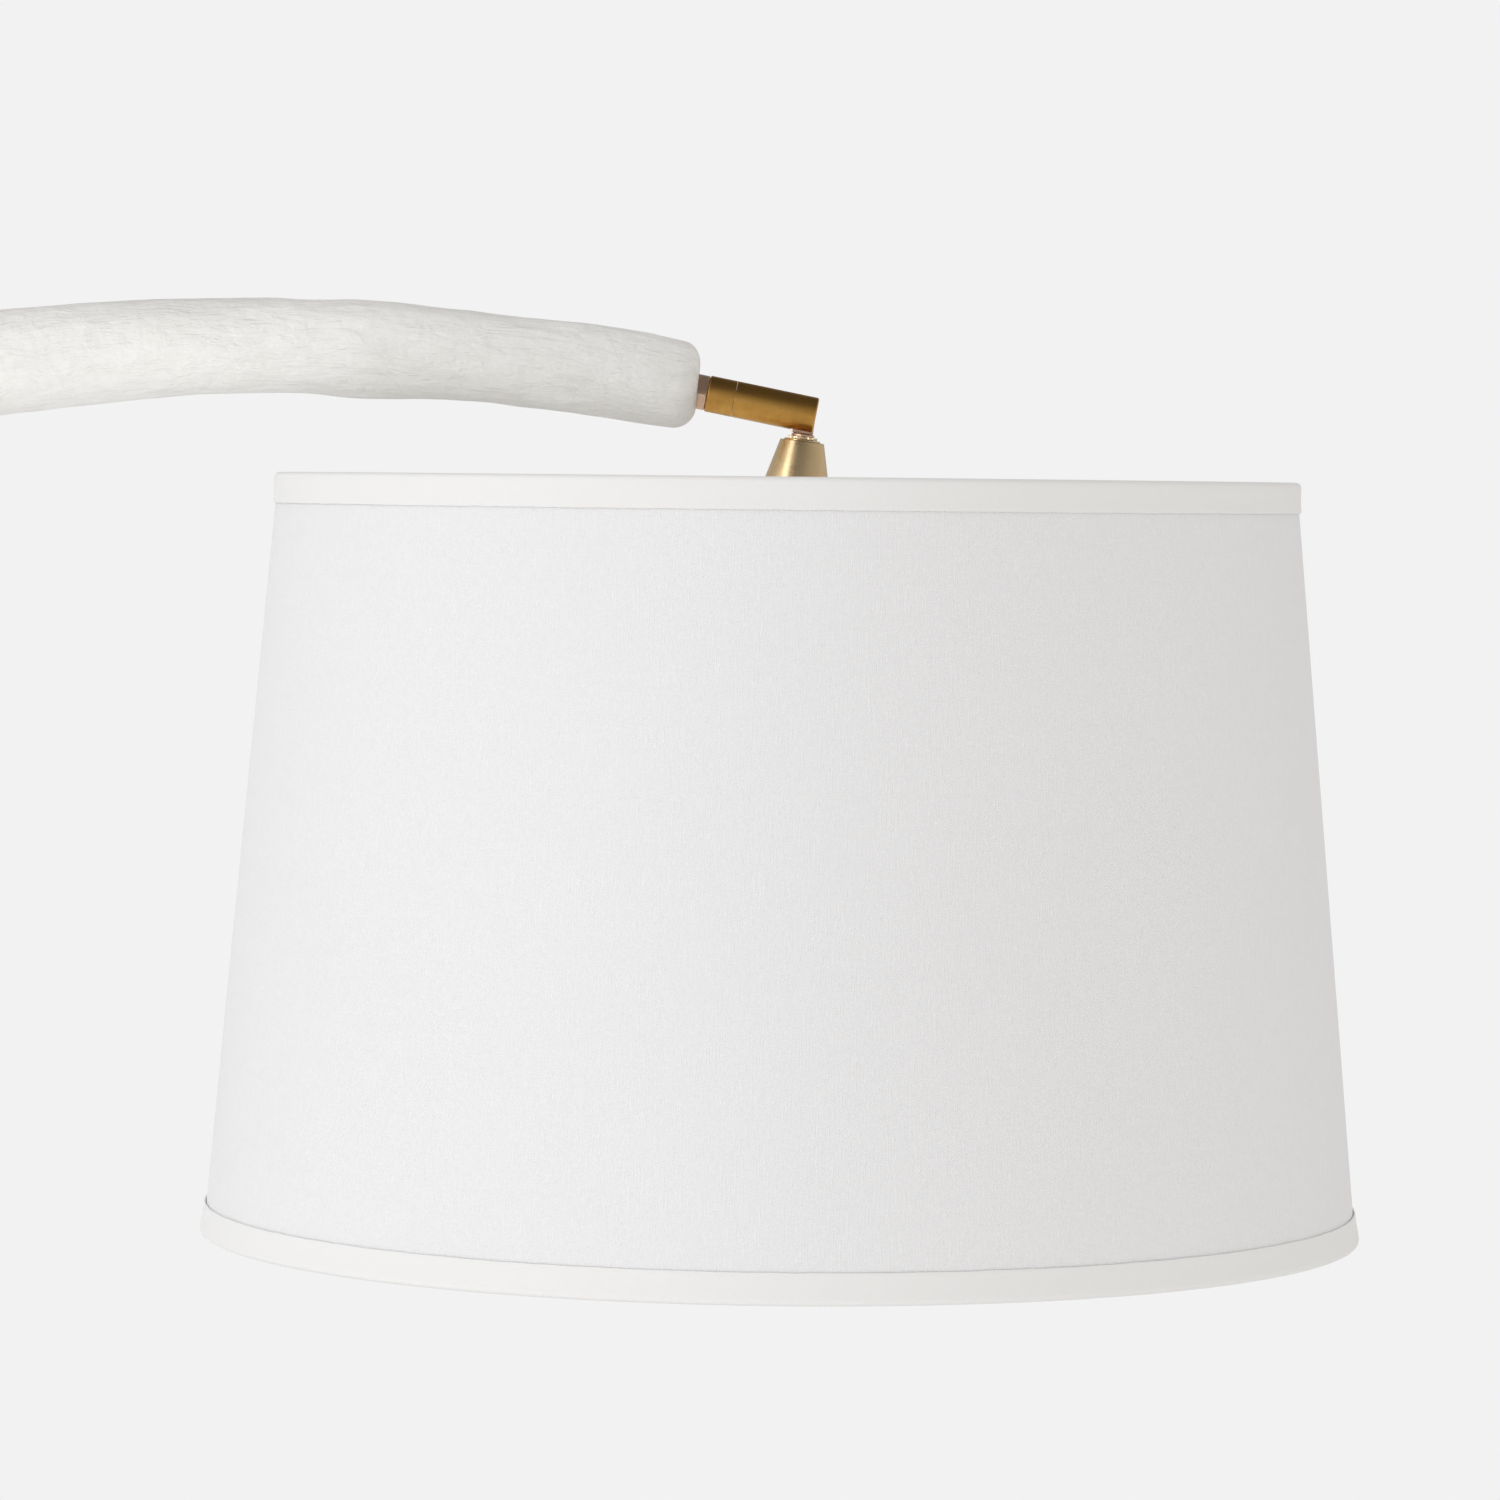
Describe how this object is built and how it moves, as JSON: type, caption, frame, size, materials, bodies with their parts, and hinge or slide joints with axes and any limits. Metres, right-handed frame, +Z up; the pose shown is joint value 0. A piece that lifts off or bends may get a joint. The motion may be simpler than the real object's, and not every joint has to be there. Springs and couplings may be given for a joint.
{
  "type": "arc floor lamp",
  "caption": "Arc floor lamp: a weighted round base, a plaster-coated post and arching arm, and a tapered linen drum shade on a brass swivel.",
  "frame": {"origin": "on the floor at the centre of the base's felt", "axes": "+Z up, +X along the arm from the post to the shade, +Y to the back, so the swivel's pin is pressed in from +Y"},
  "size_m": [1.4668, 0.5114, 1.8527],
  "materials": {
    "plaster": "satin",
    "aged_brass": "satin",
    "satin_brass": "satin",
    "bright_steel": "satin",
    "cast_iron": "matte",
    "felt": "matte",
    "socket_black": "satin",
    "frosted_glass": "satin",
    "white_wire": "satin",
    "shade_liner": "satin",
    "linen": "matte",
    "linen_tape": "matte",
    "lead_jacket": "satin"
  },
  "bodies": {
    "stand": {"base_cover": "plaster", "post_coat": "plaster", "arm_coat": "plaster", "joint_ring": "aged_brass", "swivel_nipple": "aged_brass", "swivel_collar": "aged_brass", "cord_gland": "aged_brass", "hex_nut": "satin_brass", "gland_nut": "bright_steel", "post_flange": "bright_steel", "flange_screw_1": "bright_steel", "flange_screw_2": "bright_steel", "flange_screw_3": "bright_steel", "post_tube": "bright_steel", "coupling_sleeve": "bright_steel", "set_screw": "bright_steel", "arm_tube": "bright_steel", "tip_bushing": "bright_steel", "swivel_spindle": "bright_steel", "wave_washer": "bright_steel", "retaining_clip": "bright_steel", "base_weight": "cast_iron", "felt_pad": "felt", "stand_lead": "lead_jacket"},
    "barrel": {"swivel_barrel": "aged_brass", "pivot_pin": "bright_steel"},
    "head": {"knuckle": "satin_brass", "lock_washer": "bright_steel", "socket_cup": "satin_brass", "cup_nut": "bright_steel", "socket_body": "socket_black", "screw_shell": "aged_brass", "contact_spring": "aged_brass", "bulb_cap": "bright_steel", "bulb_tip": "socket_black", "bulb_glass": "frosted_glass", "shade_ring_nut": "socket_black", "head_lead": "lead_jacket", "spider_hub": "white_wire", "spider_arm_1": "white_wire", "spider_arm_2": "white_wire", "spider_arm_3": "white_wire", "top_wire": "white_wire", "bottom_wire": "white_wire", "shade_liner": "shade_liner", "shade_fabric": "linen", "top_trim": "linen_tape", "bottom_trim": "linen_tape"},
    "switch": {"switch_shaft": "bright_steel", "switch_knob": "aged_brass"}
  },
  "joints": [
    {"name": "barrel_turn", "type": "hinge", "parent": "stand", "child": "barrel", "pos_m": [0.97857, 0, 1.81261], "axis": [0.9812, 0, -0.193], "range_deg": [-165, 165]},
    {"name": "knuckle_tilt", "type": "hinge", "parent": "barrel", "child": "head", "pos_m": [1.02194, 0, 1.80407], "axis": [0, -1, 0], "range_deg": [-4.13, 85.87]},
    {"name": "switch_turn", "type": "hinge", "parent": "head", "child": "switch", "pos_m": [1.01682, 0, 1.76239], "axis": [0, -1, 0], "continuous": true}
  ]
}
